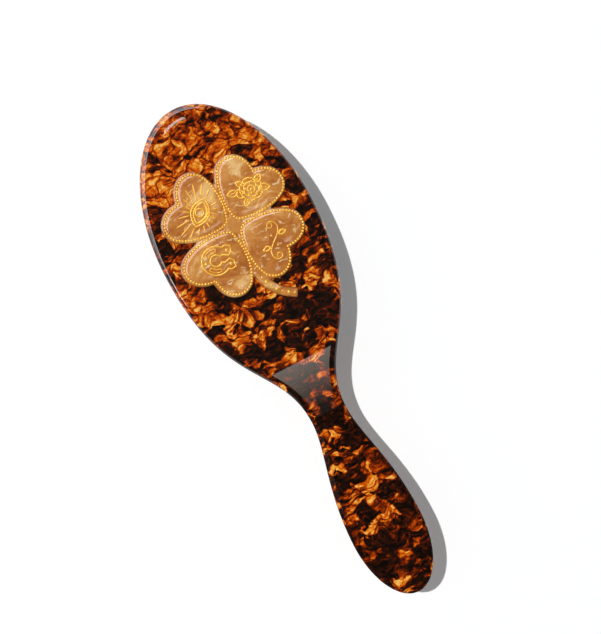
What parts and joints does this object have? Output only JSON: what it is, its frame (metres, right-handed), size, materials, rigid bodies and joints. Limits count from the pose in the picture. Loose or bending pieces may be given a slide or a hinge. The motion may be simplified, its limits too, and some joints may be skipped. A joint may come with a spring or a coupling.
{
  "type": "oval cushion hairbrush",
  "caption": "Oval cushion hairbrush in tortoiseshell acetate with a four-leaf clover plate, gilt beading and motifs, a sprung rubber cushion and flexing ball-tipped bristles.",
  "frame": {"origin": "on the surface that the bristle tips rest on, under the middle of the brush's outer box", "axes": "+X from the tip of the head to the end of the handle, +Y across the head, +Z from the bristle tips to the back with the clover"},
  "size_m": [0.231, 0.0712, 0.0384],
  "materials": {
    "tortoise_acetate": "glossy polished acetate with amber flakes in near-black",
    "tortoise_acetate_front": "glossy polished acetate with amber flakes in near-black",
    "pearl_acetate": "glossy pearly tan-gold acetate",
    "gilt_beads": "polished gilt",
    "gilt_lines": "polished gilt",
    "cushion_rubber": "matt natural rubber",
    "bristle_nylon": "satin nylon"
  },
  "bodies": {
    "root": {"back_shell": "tortoise_acetate", "front_frame": "tortoise_acetate_front", "clover_plate": "pearl_acetate", "rose_leaf_beads": "gilt_beads", "eye_leaf_beads": "gilt_beads", "horseshoe_leaf_beads": "gilt_beads", "scroll_leaf_beads": "gilt_beads", "stem_studs": "gilt_beads", "rose_motif": "gilt_lines", "eye_motif": "gilt_lines", "horseshoe_motif": "gilt_lines", "scroll_motif": "gilt_lines"},
    "cushion": {"cushion": "cushion_rubber"},
    "bristle_row_1": {"bristle_row_1": "bristle_nylon"},
    "bristle_row_2": {"bristle_row_2": "bristle_nylon"},
    "bristle_row_3": {"bristle_row_3": "bristle_nylon"},
    "bristle_row_4": {"bristle_row_4": "bristle_nylon"},
    "bristle_row_5": {"bristle_row_5": "bristle_nylon"},
    "bristle_row_6": {"bristle_row_6": "bristle_nylon"},
    "bristle_row_7": {"bristle_row_7": "bristle_nylon"},
    "bristle_row_8": {"bristle_row_8": "bristle_nylon"},
    "bristle_row_9": {"bristle_row_9": "bristle_nylon"}
  },
  "joints": [
    {"name": "cushion_press", "type": "slide", "parent": "root", "child": "cushion", "axis": [0, 0, 1], "range_m": [0, 0.003], "stiffness_N_per_m": 1500, "deforming": ["cushion"]},
    {"name": "row_1_tilt", "type": "hinge", "parent": "cushion", "child": "bristle_row_1", "pos_m": [-0.05585, -0.0256, 0.0198], "axis": [1, 0, 0], "range_deg": [-12, 12], "stiffness_Nm_per_rad": 0.3},
    {"name": "row_2_tilt", "type": "hinge", "parent": "cushion", "child": "bristle_row_2", "pos_m": [-0.05585, -0.0192, 0.0198], "axis": [1, 0, 0], "range_deg": [-12, 12], "stiffness_Nm_per_rad": 0.3},
    {"name": "row_3_tilt", "type": "hinge", "parent": "cushion", "child": "bristle_row_3", "pos_m": [-0.05585, -0.0128, 0.0198], "axis": [1, 0, 0], "range_deg": [-12, 12], "stiffness_Nm_per_rad": 0.3},
    {"name": "row_4_tilt", "type": "hinge", "parent": "cushion", "child": "bristle_row_4", "pos_m": [-0.05585, -0.0064, 0.0198], "axis": [1, 0, 0], "range_deg": [-12, 12], "stiffness_Nm_per_rad": 0.3},
    {"name": "row_5_tilt", "type": "hinge", "parent": "cushion", "child": "bristle_row_5", "pos_m": [-0.05585, 0, 0.0198], "axis": [1, 0, 0], "range_deg": [-12, 12], "stiffness_Nm_per_rad": 0.3},
    {"name": "row_6_tilt", "type": "hinge", "parent": "cushion", "child": "bristle_row_6", "pos_m": [-0.05585, 0.0064, 0.0198], "axis": [1, 0, 0], "range_deg": [-12, 12], "stiffness_Nm_per_rad": 0.3},
    {"name": "row_7_tilt", "type": "hinge", "parent": "cushion", "child": "bristle_row_7", "pos_m": [-0.05585, 0.0128, 0.0198], "axis": [1, 0, 0], "range_deg": [-12, 12], "stiffness_Nm_per_rad": 0.3},
    {"name": "row_8_tilt", "type": "hinge", "parent": "cushion", "child": "bristle_row_8", "pos_m": [-0.05585, 0.0192, 0.0198], "axis": [1, 0, 0], "range_deg": [-12, 12], "stiffness_Nm_per_rad": 0.3},
    {"name": "row_9_tilt", "type": "hinge", "parent": "cushion", "child": "bristle_row_9", "pos_m": [-0.05585, 0.0256, 0.0198], "axis": [1, 0, 0], "range_deg": [-12, 12], "stiffness_Nm_per_rad": 0.3}
  ]
}
